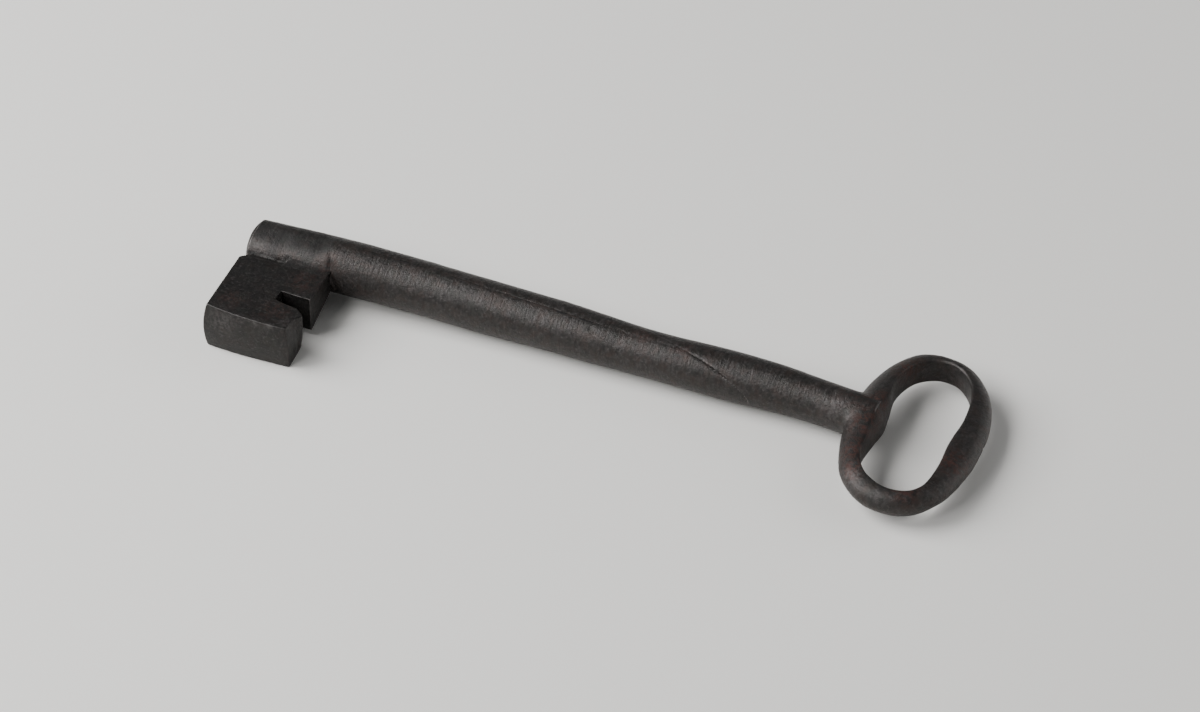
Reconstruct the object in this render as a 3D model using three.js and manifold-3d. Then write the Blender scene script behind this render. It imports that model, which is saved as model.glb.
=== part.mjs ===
// A large forged gate key, in millimetres, lying flat with +Z up.
// The key's own line runs along +X from the barrel's open tip to the bow, and the bit points towards -Y.
// A rolled barrel is scarfed onto a solid stem, the bit is tongued into the barrel and the bow is a forged oval ring.
import * as THREE from 'three';
import { mergeVertices } from 'three/addons/utils/BufferGeometryUtils.js';
import Module from 'manifold-3d';

const wasm = await Module();
wasm.setup();

// Working clearance between two pieces that the braze or the hammer closes.
const FIT = 0.3;

// How far a cutting solid runs past what it cuts.
const SPARE = 10;

// Shank: its stations from the barrel's tip to the stem's foot. Each has its run, the distance from the station
// before it, with the wander of the centre line, its height and the radius there. The barrel is bent up at the bit.
const TIP = { run: 0, y: 0, z: 9.75, radius: 8.75 };
const BIT_SHOULDER = { run: 30, y: 0.2, z: 10.25, radius: 8.9 };
const BARREL_BEND = { run: 22, y: 1.3, z: 9.4, radius: 8.75 };
const BARREL_MIDDLE = { run: 28, y: 1.4, z: 8.6, radius: 8.6 };
const BARREL_TAPER = { run: 25, y: 1.2, z: 8.35, radius: 8.35 };
const LAP_START = { run: 17, y: 0.6, z: 8.2, radius: 7.9 };
const LAP_WAIST = { run: 16, y: 0.2, z: 8.1, radius: 7.5 };
const LAP_SWELL = { run: 25, y: 0.3, z: 7.9, radius: 7.9 };
const STEM_TAPER = { run: 17, y: 0.3, z: 7.8, radius: 7.5 };
const STEM_WAIST = { run: 13, y: -0.3, z: 7.7, radius: 7.05 };
const NECK_START = { run: 8, y: -0.9, z: 7.65, radius: 7.0 };
const NECK_STEP = { run: 3, y: -1.1, z: 7.6, radius: 6.3 };
const STEM_FOOT = { run: 8, y: -1.8, z: 7.55, radius: 6.0 };
const SHANK = [
  TIP, BIT_SHOULDER, BARREL_BEND, BARREL_MIDDLE, BARREL_TAPER, LAP_START, LAP_WAIST, LAP_SWELL, STEM_TAPER,
  STEM_WAIST, NECK_START, NECK_STEP, STEM_FOOT,
];
const distanceTo = (station) => SHANK.slice(0, SHANK.indexOf(station) + 1).reduce((sum, row) => sum + row.run, 0);
const STATIONS = SHANK.map((station) => ({ ...station, x: distanceTo(station) }));
const STEM_END = distanceTo(STEM_FOOT);
const TIP_CHAMFER = 1.1;
const BORE_RADIUS = 4.25;
const BORE_MOUTH_CHAMFER = 0.6;

// Scarf: the long slanted lap where the barrel ends and the solid stem begins, in degrees about Z and then Y.
const SCARF_PAST_WAIST = 12;
const SCARF_X = distanceTo(LAP_WAIST) + SCARF_PAST_WAIST;
const SCARF_TURN = 66;
const SCARF_TILT = -42;
const SPIGOT_RADIUS = BORE_RADIUS - FIT;
const SPIGOT_REACH = 38;
const SPIGOT_CHAMFER = 0.8;

// Seam: the long joint along the top of the rolled barrel, filled with braze.
const SEAM_START = 36;
const SEAM_END = distanceTo(LAP_WAIST);
const SEAM_WIDTH = 1.3;
const SEAM_DEPTH = 0.9;
const SEAM_PROUD = 0.25;

// Bit: a wedge that is thick at its outer edge and lies flat there, set into the barrel by a tongue. Its start and
// length are taken at the root, and again at the outer edge.
const BIT_START = 0.1;
const BIT_LENGTH = 30.5;
const BIT_EDGE_START = 3.5;
const BIT_EDGE_LENGTH = 27.8;
const BIT_REACH = 41.2;
const BIT_ROOT = 8.0;
const BIT_ROOT_LOW = 7.6;
const BIT_ROOT_HIGH = 14.2;
const BIT_KNEE = 30.5;
const BIT_KNEE_LOW = 0.7;
const BIT_EDGE_LOW = 0;
const BIT_EDGE_HIGH = 16.6;
const BIT_EDGE_TAPER = 1.7;
const BIT_CROWN = 0.9;
const BIT_EDGE_BREAK = 0.5;
const TONGUE_THICKNESS = 3.4;
const TONGUE_RADIUS = 6.2;
const TONGUE_HEIGHT = 11.3;
const TONGUE_END_MARGIN = 2.5;
const TONGUE_ROOTED = 2;

// Ward slot: cut into the bit from its bow side, wider at the mouth. Its outer lip is rounded over and spread out
// past the bow side.
const WARD_FROM_AXIS = 24.0;
const WARD_DEPTH = 10.0;
const WARD_END_WIDTH = 4.5;
const WARD_MOUTH_WIDTH = 6.0;
const WARD_LIP = 2.4;
const WARD_LIP_SPREAD = 1.8;

// Braze at the bit's root: a short lip on top and a long fillet below.
const ROOT_BRAZE_RADIUS = 2.0;
const ROOT_BRAZE_INSET = 1.0;
const TOP_BRAZE_LENGTH = 14.5;
const UNDER_BRAZE_LENGTH = 25;

// Bow: a forged oval ring, round outside and flat inside. Its two outlines in plan are set out from its centre, and
// the stem's foot bites into its near side.
const BOW_NEAR = 21.8;
const BOW_WANDER = -2.8;
const STEM_BITE = 6.8;
const BOW_NEAR_SIDE = STEM_END - STEM_BITE;
const BOW_CENTRE = { x: BOW_NEAR_SIDE + BOW_NEAR, y: BOW_WANDER };
const BOW_OUTER = [
  [-BOW_NEAR, -0.2], [-19.6, -14.2], [-14.4, -26.8], [-6.2, -34.6], [2.5, -36.5], [11, -33.4], [17.6, -24.4],
  [20.9, -11.2], [21.2, 0.8], [19.6, 11.8], [15.4, 23.3], [8, 32.6], [-1.4, 36.4], [-10.5, 34.8], [-17, 26.5],
  [-20.7, 14.3],
];
const BOW_INNER = [
  [-10.7, 1.3], [-12.4, -7.2], [-11.8, -16.7], [-7.8, -25.5], [-0.5, -30.4], [6.4, -30.2], [11, -25.5],
  [12.4, -15.2], [11.9, -4.2], [12.8, 7.8], [11.6, 17.8], [8.6, 25.3], [3, 30.8], [-3.8, 31.7], [-9.8, 27],
  [-12.8, 17.8], [-11.8, 8.8],
];
const BOW_AXIS_HEIGHT = 7.45;
const BOW_HEIGHT = 8.8;
const BOW_NECK_HEIGHT = 13.2;
const BOW_NECK_SPREAD = 0.42;
const BOW_INNER_ROUND = 1.8;
const TENON_RADIUS = 3.9;
const TENON_REACH = 7;

// Braze collar where the stem meets the bow.
const NECK_BRAZE_LENGTH = 5.2;
const NECK_BRAZE_BITE = 1.5;
const NECK_BRAZE_END = BOW_NEAR_SIDE + NECK_BRAZE_BITE;
const NECK_BRAZE_START = NECK_BRAZE_END - NECK_BRAZE_LENGTH;
const NECK_BRAZE_RADIUS = 7.1;
const NECK_BRAZE_FLARE = 0.4;

// Fineness of the faceted surfaces.
const SHANK_SIDES = 40;
const SHANK_STEP = 8;
const BOW_STEPS = 72;
const SECTION_STEPS = 6;

const IRON = { color: 0x3a3331, roughness: 0.55, metalness: 0.8 };
const BRAZE = { color: 0x6a4a3a, roughness: 0.5, metalness: 0.8 };

// Smooth value between named stations, by Hermite pieces with the neighbours' slope.
function along(rows, x, key) {
  const last = rows.length - 1;
  if (x <= rows[0].x) return rows[0][key];
  if (x >= rows[last].x) return rows[last][key];
  const i = rows.findIndex((row) => row.x > x) - 1;
  const slope = (k) => {
    const a = rows[Math.max(k - 1, 0)];
    const b = rows[Math.min(k + 1, last)];
    return (b[key] - a[key]) / (b.x - a.x);
  };
  const span = rows[i + 1].x - rows[i].x;
  const t = (x - rows[i].x) / span;
  const rise = 3 * t * t - 2 * t * t * t;
  const leave = t * t * t - 2 * t * t + t;
  const arrive = t * t * t - t * t;
  const straight = rows[i][key] * (1 - rise) + rows[i + 1][key] * rise;
  return straight + span * (leave * slope(i) + arrive * slope(i + 1));
}

const shankRadius = (x) => along(STATIONS, x, 'radius');
const axisY = (x) => along(STATIONS, x, 'y');
const axisZ = (x) => along(STATIONS, x, 'z');

const middleOf = (a, b) => (a + b) / 2;

// A closed mesh as a solid, and a solid as a mesh.
function toSolid(geometry) {
  const bare = geometry.clone();
  bare.deleteAttribute('normal');
  bare.deleteAttribute('uv');
  const merged = mergeVertices(bare, 1e-4);
  return new wasm.Manifold(new wasm.Mesh({
    numProp: 3,
    vertProperties: new Float32Array(merged.attributes.position.array),
    triVerts: new Uint32Array(merged.index.array),
  }));
}

function toGeometry(solid) {
  const mesh = solid.getMesh();
  const geometry = new THREE.BufferGeometry();
  geometry.setAttribute('position', new THREE.BufferAttribute(mesh.vertProperties, 3));
  geometry.setIndex(new THREE.BufferAttribute(mesh.triVerts, 1));
  return geometry;
}

// Moves every vertex of a straight piece onto the shank's wandering centre line.
function followAxis(geometry) {
  const place = geometry.attributes.position;
  for (let i = 0; i < place.count; i += 1) {
    const x = place.getX(i);
    place.setY(i, place.getY(i) + axisY(x));
    place.setZ(i, place.getZ(i) + axisZ(x));
  }
  return geometry;
}

// A turned body along +X from a profile of [x, radius] points.
function turned(profile) {
  const points = profile.map(([x, radius]) => new THREE.Vector2(radius, x));
  const body = new THREE.LatheGeometry(points, SHANK_SIDES);
  body.rotateZ(-Math.PI / 2);
  return toSolid(followAxis(body));
}

// Stations between two ends, no further apart than the shank's step.
function stations(from, to) {
  const count = Math.max(1, Math.ceil((to - from) / SHANK_STEP));
  return Array.from({ length: count + 1 }, (_, i) => from + ((to - from) * i) / count);
}

function shankSolid(from, to, grow = 0, chamfer = 0) {
  const skin = stations(from + chamfer, to).map((x) => [x, shankRadius(x) + grow]);
  const nose = chamfer > 0 ? [[from, shankRadius(from) + grow - chamfer]] : [];
  return turned([[from, 0], ...nose, ...skin, [to, 0]]);
}

function rodSolid(from, to, radius, chamfer = 0) {
  const skin = stations(from + chamfer, to).map((x) => [x, radius]);
  const nose = chamfer > 0 ? [[from, radius - chamfer]] : [];
  return turned([[from, 0], ...nose, ...skin, [to, 0]]);
}

function boxSolid(x, y, z, dx, dy, dz) {
  return toSolid(new THREE.BoxGeometry(dx, dy, dz).translate(x, y, z));
}

// Everything on one side of the scarf's slanted plane.
function behindScarf(offset) {
  const reach = 2 * STEM_END;
  const block = new THREE.BoxGeometry(reach, reach, reach);
  block.translate(reach / 2 + offset, 0, 0);
  block.rotateZ(THREE.MathUtils.degToRad(SCARF_TURN));
  block.rotateY(THREE.MathUtils.degToRad(SCARF_TILT));
  block.translate(SCARF_X, axisY(SCARF_X), axisZ(SCARF_X));
  return toSolid(block);
}

// A strip let into the top of the shank.
function topStrip(from, to, width, depth, proud) {
  const height = depth + proud;
  const strip = new THREE.BoxGeometry(to - from, width, height, stations(from, to).length - 1, 1, 1);
  strip.translate((from + to) / 2, 0, 0);
  const place = strip.attributes.position;
  for (let i = 0; i < place.count; i += 1) {
    const floor = shankRadius(place.getX(i)) - depth;
    place.setZ(i, floor + place.getZ(i) + height / 2);
  }
  return toSolid(followAxis(strip));
}

// The bow: a section round outside and flat inside, carried round the two outlines.
function outlineRadius(points) {
  const corners = points.map(([x, y]) => new THREE.Vector3(x, y, 0));
  const curve = new THREE.CatmullRomCurve3(corners, true, 'centripetal');
  const fine = curve.getPoints(BOW_STEPS * 10).map((p) => ({ angle: Math.atan2(p.y, p.x), r: Math.hypot(p.x, p.y) }));
  return (angle) => {
    const gap = (p) => Math.abs(Math.atan2(Math.sin(p.angle - angle), Math.cos(p.angle - angle)));
    return fine.reduce((best, p) => (gap(p) < gap(best) ? p : best)).r;
  };
}

function bowSection(inner, outer, height) {
  const half = height / 2;
  const round = BOW_INNER_ROUND;
  const corner = Array.from({ length: SECTION_STEPS / 2 + 1 }, (_, i) => {
    const a = Math.PI - (Math.PI / 2) * (i / (SECTION_STEPS / 2));
    return [inner + round + round * Math.cos(a), half - round + round * Math.sin(a)];
  });
  const flank = Array.from({ length: SECTION_STEPS }, (_, i) => {
    const a = (Math.PI / 2) * (1 - (i + 1) / SECTION_STEPS);
    return [inner + round + (outer - inner - round) * Math.cos(a), half * Math.sin(a)];
  });
  const top = [...corner, ...flank];
  const under = top.slice(0, -1).reverse().map(([s, z]) => [s, -z]);
  return [...top, ...under];
}

function bowHeight(angle) {
  const fromNeck = Math.abs(Math.atan2(Math.sin(angle - Math.PI), Math.cos(angle - Math.PI)));
  const neck = Math.exp(-((fromNeck / BOW_NECK_SPREAD) ** 2));
  return BOW_HEIGHT + (BOW_NECK_HEIGHT - BOW_HEIGHT) * neck;
}

function bowSolid(grow = 0) {
  const outerAt = outlineRadius(BOW_OUTER);
  const innerAt = outlineRadius(BOW_INNER);
  const vertices = [];
  const faces = [];
  let size = 0;
  for (let k = 0; k < BOW_STEPS; k += 1) {
    const angle = (2 * Math.PI * k) / BOW_STEPS;
    const section = bowSection(innerAt(angle) - grow, outerAt(angle) + grow, bowHeight(angle) + 2 * grow);
    size = section.length;
    section.forEach(([s, z]) => {
      vertices.push(BOW_CENTRE.x + s * Math.cos(angle), BOW_CENTRE.y + s * Math.sin(angle), BOW_AXIS_HEIGHT + z);
    });
  }
  for (let k = 0; k < BOW_STEPS; k += 1) {
    const next = (k + 1) % BOW_STEPS;
    for (let j = 0; j < size; j += 1) {
      const up = (j + 1) % size;
      const a = k * size + j;
      const b = next * size + j;
      const c = next * size + up;
      const d = k * size + up;
      faces.push(a, c, b, a, d, c);
    }
  }
  const ring = new THREE.BufferGeometry();
  ring.setAttribute('position', new THREE.BufferAttribute(new Float32Array(vertices), 3));
  ring.setIndex(faces);
  return toSolid(ring);
}

// Heights of the bit's two faces, and the places of its two ends, at a distance from the shank's centre line.
const slopeOf = (near, far, low, high) => (distance) => low + ((high - low) * (distance - near)) / (far - near);
const bladeLow = slopeOf(BIT_ROOT, BIT_KNEE, BIT_ROOT_LOW, BIT_KNEE_LOW);
const bladeHigh = slopeOf(BIT_ROOT, BIT_REACH, BIT_ROOT_HIGH, BIT_EDGE_HIGH);
const tipSide = slopeOf(BIT_ROOT, BIT_REACH, BIT_START, BIT_EDGE_START);
const bowSide = slopeOf(BIT_ROOT, BIT_REACH, BIT_START + BIT_LENGTH, BIT_EDGE_START + BIT_EDGE_LENGTH);

// The bit's thickness: a wedge with a crowned outer face and broken edges, wider than the bit.
function bitWedge(grow) {
  const middle = (BIT_ROOT + BIT_REACH) / 2;
  const root = BIT_ROOT / 2;
  const edge = -BIT_REACH - grow;
  const wedge = new THREE.Shape();
  wedge.moveTo(-root, bladeLow(root) - grow);
  wedge.lineTo(-BIT_KNEE, BIT_KNEE_LOW - grow);
  wedge.lineTo(edge + BIT_EDGE_BREAK, BIT_EDGE_LOW - grow);
  wedge.lineTo(edge, BIT_EDGE_LOW + BIT_EDGE_BREAK - grow);
  wedge.quadraticCurveTo(edge - 2 * BIT_CROWN, middleOf(BIT_EDGE_LOW, BIT_EDGE_HIGH), edge, BIT_EDGE_HIGH + grow);
  wedge.lineTo(-middle, bladeHigh(middle) + grow);
  wedge.lineTo(-root, bladeHigh(root) + grow);
  wedge.closePath();
  const width = BIT_LENGTH + 2 * SPARE;
  const block = new THREE.ExtrudeGeometry(wedge, { depth: width, steps: 6, curveSegments: 8, bevelEnabled: false });
  block.translate(0, 0, BIT_START - SPARE);
  block.rotateY(Math.PI / 2);
  block.rotateX(Math.PI / 2);
  const place = block.attributes.position;
  for (let i = 0; i < place.count; i += 1) {
    const outward = -place.getY(i) / BIT_REACH;
    const towardBow = (place.getX(i) - BIT_START) / BIT_LENGTH;
    const upper = place.getZ(i) > bladeLow(root) ? 1 : 0;
    place.setZ(i, place.getZ(i) - upper * outward * towardBow * BIT_EDGE_TAPER);
  }
  return toSolid(block);
}

// The bit's plan: its two leaning ends, and the ward slot.
function bitPlan() {
  const far = BIT_REACH + SPARE;
  const end = bowSide(WARD_FROM_AXIS) - WARD_DEPTH;
  const mouth = WARD_FROM_AXIS + WARD_MOUTH_WIDTH;
  const blind = WARD_FROM_AXIS + WARD_END_WIDTH;
  const lip = mouth - (WARD_LIP * (mouth - blind)) / WARD_DEPTH;
  const crest = mouth + WARD_LIP;
  const plan = new THREE.Shape();
  plan.moveTo(tipSide(0), 0);
  plan.lineTo(tipSide(far), -far);
  plan.lineTo(bowSide(far), -far);
  plan.lineTo(bowSide(crest + WARD_LIP), -crest - WARD_LIP);
  plan.lineTo(bowSide(crest) + WARD_LIP_SPREAD, -crest);
  plan.quadraticCurveTo(bowSide(mouth), -mouth, bowSide(mouth) - WARD_LIP, -lip);
  plan.lineTo(end, -blind);
  plan.lineTo(end, -WARD_FROM_AXIS);
  plan.lineTo(bowSide(WARD_FROM_AXIS), -WARD_FROM_AXIS);
  plan.lineTo(bowSide(0), 0);
  plan.closePath();
  const prism = new THREE.ExtrudeGeometry(plan, {
    depth: BIT_EDGE_HIGH + 2 * SPARE,
    curveSegments: 5,
    bevelEnabled: false,
  });
  prism.translate(0, 0, -SPARE);
  return toSolid(prism);
}

function tongueBox(clear) {
  const x = BIT_START + BIT_LENGTH / 2;
  const length = BIT_LENGTH - 2 * TONGUE_END_MARGIN + 2 * clear;
  const inner = -TONGUE_RADIUS + clear;
  const outer = -shankRadius(x) - TONGUE_ROOTED;
  return boxSolid(x, (inner + outer) / 2, TONGUE_HEIGHT, length, inner - outer, TONGUE_THICKNESS + 2 * clear);
}

function barrel() {
  const outside = shankSolid(0, SCARF_X + SPIGOT_REACH, 0, TIP_CHAMFER);
  const bore = rodSolid(-SPARE, SCARF_X + SPIGOT_REACH + SPARE, BORE_RADIUS);
  const mouth = turned([
    [-SPARE, 0],
    [-SPARE, BORE_RADIUS + BORE_MOUTH_CHAMFER + SPARE],
    [BORE_MOUTH_CHAMFER, BORE_RADIUS],
    [BORE_MOUTH_CHAMFER, 0],
  ]);
  const groove = topStrip(SEAM_START - FIT, SEAM_END + FIT, SEAM_WIDTH + 2 * FIT, SEAM_DEPTH + FIT, BORE_RADIUS);
  return outside
    .subtract(behindScarf(-FIT / 2))
    .subtract(bore)
    .subtract(mouth)
    .subtract(groove)
    .subtract(tongueBox(FIT));
}

function stem() {
  const outside = shankSolid(SCARF_X - SPIGOT_REACH, STEM_END).subtract(bowSolid(FIT));
  const body = outside.intersect(behindScarf(FIT / 2));
  const spigot = rodSolid(SCARF_X - SPIGOT_REACH, SCARF_X + SPIGOT_REACH, SPIGOT_RADIUS, SPIGOT_CHAMFER);
  const tenon = rodSolid(NECK_BRAZE_START, BOW_NEAR_SIDE + TENON_REACH, TENON_RADIUS);
  return body.add(spigot).add(tenon);
}

function bowRing() {
  const mortise = rodSolid(NECK_BRAZE_START, BOW_NEAR_SIDE + TENON_REACH + FIT, TENON_RADIUS + FIT);
  return bowSolid().subtract(mortise);
}

// The shank's outside along the bit, with the clearance that the braze fills.
const shankBesideBit = () => shankSolid(-SPARE, BIT_START + BIT_LENGTH + SPARE, FIT);

function bit() {
  const blade = bitWedge(0).intersect(bitPlan()).subtract(shankBesideBit());
  const wide = 4 * BIT_REACH;
  const beyond = boxSolid(0, wide / 2, 0, wide, wide + FIT, wide);
  return blade.add(tongueBox(0)).subtract(beyond);
}

// A bead of braze in the corner between the shank and one face of the bit.
function rootBraze(from, length, face) {
  const x = from + length / 2;
  const distance = [1, 2, 3, 4].reduce((d) => Math.sqrt(shankRadius(x) ** 2 - (face(d) - axisZ(x)) ** 2), BIT_ROOT);
  const bead = new THREE.CylinderGeometry(ROOT_BRAZE_RADIUS, ROOT_BRAZE_RADIUS, length, 16);
  bead.rotateZ(Math.PI / 2);
  bead.translate(x, axisY(x) - distance, face(distance));
  return toSolid(bead).subtract(shankBesideBit()).subtract(bitWedge(FIT));
}

function neckBraze() {
  const start = NECK_BRAZE_START;
  const end = NECK_BRAZE_END;
  const flare = [0, 0.25, 0.5, 0.75, 1].map((t) => {
    return [start + NECK_BRAZE_LENGTH * t, NECK_BRAZE_RADIUS + NECK_BRAZE_FLARE * t * t];
  });
  const collar = turned([[start, 0], ...flare, [end, 0]]);
  return collar.subtract(shankSolid(start - SPARE, end + SPARE, FIT)).subtract(bowSolid(FIT));
}

function piece(name, solid, finish) {
  const mesh = new THREE.Mesh(toGeometry(solid), new THREE.MeshStandardMaterial(finish));
  mesh.name = name;
  mesh.geometry.computeVertexNormals();
  return mesh;
}

const key = new THREE.Group();
key.add(
  piece('barrel', barrel(), IRON),
  piece('stem', stem(), IRON),
  piece('bow_ring', bowRing(), IRON),
  piece('bit', bit(), IRON),
  piece('bit_braze_top', rootBraze(BIT_START + ROOT_BRAZE_INSET, TOP_BRAZE_LENGTH, bladeHigh), BRAZE),
  piece('bit_braze_under', rootBraze(BIT_START + ROOT_BRAZE_INSET, UNDER_BRAZE_LENGTH, bladeLow), BRAZE),
  piece('neck_braze', neckBraze(), BRAZE),
  piece('seam_braze', topStrip(SEAM_START, SEAM_END, SEAM_WIDTH, SEAM_DEPTH, SEAM_PROUD), BRAZE),
);

// The whole key is set with its lowest point on the ground and its box centred on the origin.
const extent = new THREE.Box3().setFromObject(key);
const middle = extent.getCenter(new THREE.Vector3());
key.position.set(-middle.x, -middle.y, -extent.min.z);
key.updateMatrixWorld(true);

export default key;
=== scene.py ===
"""A large forged iron gate key, lying on a plain pale studio floor.

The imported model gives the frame. Each iron piece is forged again here as a fine mesh round the same centre
lines and outlines, with its hammer marks, cracks, pits and brazed joints, and procedural iron finishes.
Lengths are in the key's own millimetres: x from the barrel's tip, -y towards the bit, z up from the ground.
"""
import math

import bmesh
import bpy
from mathutils import Matrix, Vector, noise


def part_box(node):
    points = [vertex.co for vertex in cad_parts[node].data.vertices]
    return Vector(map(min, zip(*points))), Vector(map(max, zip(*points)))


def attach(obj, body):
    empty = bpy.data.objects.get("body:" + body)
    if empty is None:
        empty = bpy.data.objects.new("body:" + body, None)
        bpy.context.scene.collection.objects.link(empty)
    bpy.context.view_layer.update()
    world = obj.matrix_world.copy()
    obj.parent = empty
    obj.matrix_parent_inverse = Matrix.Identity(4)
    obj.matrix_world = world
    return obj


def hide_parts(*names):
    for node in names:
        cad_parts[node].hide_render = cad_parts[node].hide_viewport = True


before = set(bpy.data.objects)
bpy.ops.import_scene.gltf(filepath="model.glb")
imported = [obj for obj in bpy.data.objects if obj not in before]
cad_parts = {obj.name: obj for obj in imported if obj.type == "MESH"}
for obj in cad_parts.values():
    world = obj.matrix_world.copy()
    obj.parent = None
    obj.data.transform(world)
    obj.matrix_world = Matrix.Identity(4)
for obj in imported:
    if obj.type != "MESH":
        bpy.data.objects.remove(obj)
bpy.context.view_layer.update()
MM = 0.001
RIGHT_ANGLE = math.pi / 2
TURN = 2 * math.pi
MERGE_DISTANCE = 1e-4
TINY = 1e-9

# Shank's stations: x, then the centre line's y and height, and the radius.
SHANK = [
    (0, 0.0, 9.8, 8.75),
    (30, 0.2, 10.5, 8.9),
    (52, 1.3, 9.6, 8.75),
    (80, 1.4, 8.8, 8.6),
    (105, 1.25, 8.65, 8.35),
    (122, 0.75, 8.4, 7.9),
    (138, 0.35, 8.25, 7.5),
    (163, 0.6, 8.1, 7.9),
    (180, 0.7, 8.05, 7.5),
    (193, 0.1, 7.8, 7.05),
    (203, -0.7, 7.6, 7.0),
    (214, -1.6, 7.5, 6.6),
]
SHANK_SIDES = 112
SHANK_STEP = 0.55
BARREL_END = 182
STEM_START = 118
STEM_END = 214

# Bore of the barrel, and its mouth as x and how much wider than the bore it is there.
BORE_RADIUS = 4.25
BORE_DEPTH = 110
BORE_MOUTH = [(BORE_DEPTH, 0.0), (60, 0.0), (1.2, 0.0), (0.35, 0.25), (0.0, 0.75)]

# Face of the barrel's tip as radii, and the rounded edge round it as x and radius.
TIP_FACE = [5.6, 6.3, 7.0]
TIP_EDGE = [(0.12, 7.5), (0.45, 8.0), (0.95, 8.38)]
TIP_EDGE_END = 1.0

# Slanted lap between barrel and stem.
SCARF_X = 150
SCARF_TURN = math.radians(66)
SCARF_TILT = math.radians(-42)

# Crack that stands open along the lap: its V, the dish round it, and the step between its two sides.
CRACK_X = 160.5
CRACK_LENGTH = 6.5
CRACK_SHARE = 0.65
CRACK_DEPTH = 0.5
CRACK_WIDTH = 0.2
CLOSED_DEPTH = 0.03
DISH_DEPTH = 0.10
DISH_WIDTH = 0.6
BARREL_LAP_RISE = -0.06
STEM_LAP_RISE = 0.16
LAP_RISE_WIDTH = 2.4
LAP_REACH = 5
LAP_LEAST_RADIUS = 5

# Seam of the rolled barrel: its two ends, its groove, and how far round the shank it leans as it runs.
SEAM_START = 37
SEAM_END = 154
SEAM_LEAN = 0.26
SEAM_LEAN_SPAN = (52, 110)
SEAM_RUN_IN = 2
SEAM_RUN_OUT = 8
SEAM_DEPTH = 0.15
SEAM_WIDTH = 0.4

# Strip of braze in the seam: its section as across and up from the shank's skin.
SEAM_BRAZE_END = 142
SEAM_BRAZE_STEPS = 160
SEAM_BRAZE_WIDTH = 0.75
SEAM_BRAZE_SECTION = [(-0.6, -0.7), (-0.6, -0.16), (-0.2, -0.08), (0.2, -0.08), (0.6, -0.16), (0.6, -0.7)]

# Shoulder: a shallow hammered groove across the shank behind the bit, with a lip, between two angles.
SHOULDER_X = 27.75
SHOULDER_LEAN = 2.61
SHOULDER_DEPTH = 0.32
SHOULDER_WIDTH = 0.40
SHOULDER_LIP = 0.10
SHOULDER_LIP_SHIFT = 1.0
SHOULDER_LIP_WIDTH = 0.6
SHOULDER_START = (0.05, 0.9)
SHOULDER_END = (1.6, 2.2)

# Flat hammered before the shoulder: its angle from the top, its swing half-way along, its depth and width.
FLAT_ANGLE = 0.20
FLAT_SWING = 0.16
FLAT_SWING_X = 13.0
FLAT_SWING_LENGTH = 5
FLAT_DEPTH = 1.05
FLAT_WIDTH = 0.52
FLAT_END = (24, 29)

# Part of the shank that takes forging marks: from a least radius on, growing outwards and from the tip.
MARKED_RADIUS = 7.2
MARKED_NECK_RADIUS = 5.8
NECK_START = 190
MARK_FOOT = 5.5
MARK_GROWTH = 3
MARK_TIP_FADE = (-1, 1)

# Ripples of the forging, each a depth, a size and a seed.
SHANK_HAMMER = [(0.13, 6, 1)]
SHANK_HAMMER_STRETCH = 3
SHANK_DENTS = [(0.05, 5, 2), (0.03, 1.5, 3)]
SHOULDER_WAVER = [(0.3, 3, 4)]
BOW_DENTS = [(0.12, 9, 5), (0.05, 4, 6), (0.018, 1.3, 7)]
BIT_DENTS = [(0.06, 7, 8), (0.02, 2.0, 9)]
SEAM_BRAZE_WAVER = [(0.5, 5, 11)]
SEAM_BRAZE_DENTS = [(0.05, 2, 13)]
CRACK_BREAKS = [(1.1, 2.4, 21)]

# Bow in plan: its centre, the outer outline and the foot of the inner wall.
BOW_CENTRE = Vector((227, -2.8))
BOW_OUTER = [
    (205.2, -3), (207.4, -17), (212.5, -29.8), (220.8, -37.3), (229.5, -38.9), (237.9, -35.8),
    (244.7, -27.4), (247.7, -14), (248.0, -2), (246.9, 9.2), (242.8, 21.1), (235.2, 30.3),
    (225.6, 33.9), (216.2, 32.7), (209.4, 24.7), (205.8, 11.9),
]
BOW_INNER = [
    (216.2, -1.5), (215.4, -9), (215.1, -19.5), (219.2, -28.3), (226.5, -33.2), (233.4, -33),
    (238, -28.3), (239.2, -18), (238.7, -7), (239.3, 5), (238.2, 15), (235.4, 22.4),
    (230, 27.9), (223.2, 28.8), (217.1, 24.4), (214.2, 15), (215.3, 6),
]
OUTLINE_STEPS = 24
BOW_STEPS = 300

# Section of the bow: its height, the rise and the set-back wall at the neck, and its ridge.
BOW_AXIS_HEIGHT = 7.45
BOW_HEIGHT = 8.8
BOW_NECK_ANGLE = math.radians(176)
BOW_NECK_RISE = 2.2
BOW_NECK_SPREAD = math.radians(33)
BOW_SETBACK = 2.1
BOW_SETBACK_SPREAD = math.radians(34)
BOW_RIDGE_ROUND = 0.95
SECTION_CORNER_STEPS = 6
SECTION_WALL_STEPS = 3
SEED_RADIUS = 20
SEED_WIDTH = 12
SEED_SETBACK = 0.5

# How the bow's dents move its skin: outwards past a share of its width, inwards before it, and up or down.
DENT_OUTSIDE_FROM = 0.4
DENT_INWARD = -0.5
DENT_UPWARD = 0.8
DENT_SIDE_BAND = 1

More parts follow.
